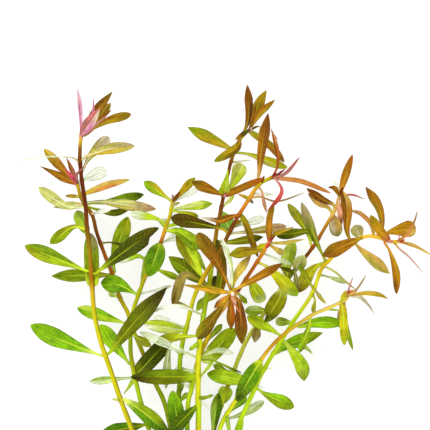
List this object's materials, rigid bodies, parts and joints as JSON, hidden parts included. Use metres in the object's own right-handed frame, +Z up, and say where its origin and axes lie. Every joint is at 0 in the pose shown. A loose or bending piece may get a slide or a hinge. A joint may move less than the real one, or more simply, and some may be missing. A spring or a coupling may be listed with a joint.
{
  "type": "ludwigia arcuata",
  "caption": "Leafy clump of a stem plant grown out of water: long bending shoots with paired narrow leaves on a short cut basal stem, laid on its side.",
  "frame": {"origin": "centre of the bounding box at its lowest point, on the surface that the clump lies on", "axes": "+Y from the cut basal stem towards the tips of the shoots, +X to the right as seen from above, +Z up from the surface"},
  "size_m": [0.146, 0.173, 0.0501],
  "materials": {
    "stem_green": "smooth, slightly waxy green stem, olive to lime",
    "stem_amber": "smooth, slightly waxy stem, yellow below and orange-brown above",
    "stem_maroon": "smooth, slightly waxy stem, dark red-brown above and yellow below",
    "leaf_green": "satin leaf, fresh green with a paler midrib",
    "leaf_lime": "satin leaf, thin yellow-green with light through it",
    "leaf_moss": "satin leaf, dark green with a bright midrib",
    "leaf_olive": "satin leaf, olive green with browner edges",
    "leaf_dark_olive": "satin leaf, dark olive-brown with a bright yellow-green midrib",
    "leaf_bronze": "satin young leaf, bronze brown with a golden midrib",
    "leaf_orange": "satin young leaf, orange with an olive tip",
    "leaf_tan": "satin leaf, tan to brown with a salmon flush"
  },
  "bodies": {
    "root": {"crown": "stem_green", "stem_a": "stem_amber", "stem_b": "stem_maroon", "stem_c": "stem_green", "stem_d": "stem_amber", "stem_e": "stem_amber", "stem_g": "stem_amber", "stem_j": "stem_maroon", "stem_k": "stem_green", "stem_l": "stem_amber", "stem_r": "stem_amber", "leaf_a7": "leaf_lime", "leaf_a9": "leaf_lime", "leaf_a13": "leaf_moss", "leaf_a14": "leaf_olive", "leaf_b9": "leaf_olive", "leaf_b14": "leaf_olive", "leaf_b15": "leaf_green", "leaf_b16": "leaf_green", "leaf_b17": "leaf_dark_olive", "leaf_b18": "leaf_green", "leaf_b19": "leaf_dark_olive", "leaf_b20": "leaf_green", "leaf_c1": "leaf_green", "leaf_c5": "leaf_lime", "leaf_c10": "leaf_green", "leaf_c13": "leaf_green", "leaf_c19": "leaf_green", "leaf_c22": "leaf_dark_olive", "leaf_d1": "leaf_olive", "leaf_d4": "leaf_bronze", "leaf_d11": "leaf_tan", "leaf_d16": "leaf_dark_olive", "leaf_d28": "leaf_olive", "leaf_e1": "leaf_dark_olive", "leaf_e4": "leaf_dark_olive", "leaf_e13": "leaf_green", "leaf_e17": "leaf_bronze", "leaf_g1": "leaf_olive", "leaf_g2": "leaf_lime", "leaf_g13": "leaf_green", "leaf_j1": "leaf_bronze", "leaf_j17": "leaf_moss", "leaf_k1": "leaf_bronze", "leaf_k4": "leaf_olive", "leaf_k6": "leaf_olive", "leaf_k11": "leaf_lime", "leaf_k12": "leaf_orange", "leaf_k14": "leaf_olive", "leaf_k22": "leaf_green", "leaf_k23": "leaf_green", "leaf_k26": "leaf_lime", "leaf_l7": "leaf_lime", "leaf_l11": "leaf_green", "leaf_l13": "leaf_green", "leaf_r1": "leaf_bronze", "leaf_r3": "leaf_olive", "leaf_r6": "leaf_bronze", "leaf_r8": "leaf_bronze"}
  },
  "joints": []
}
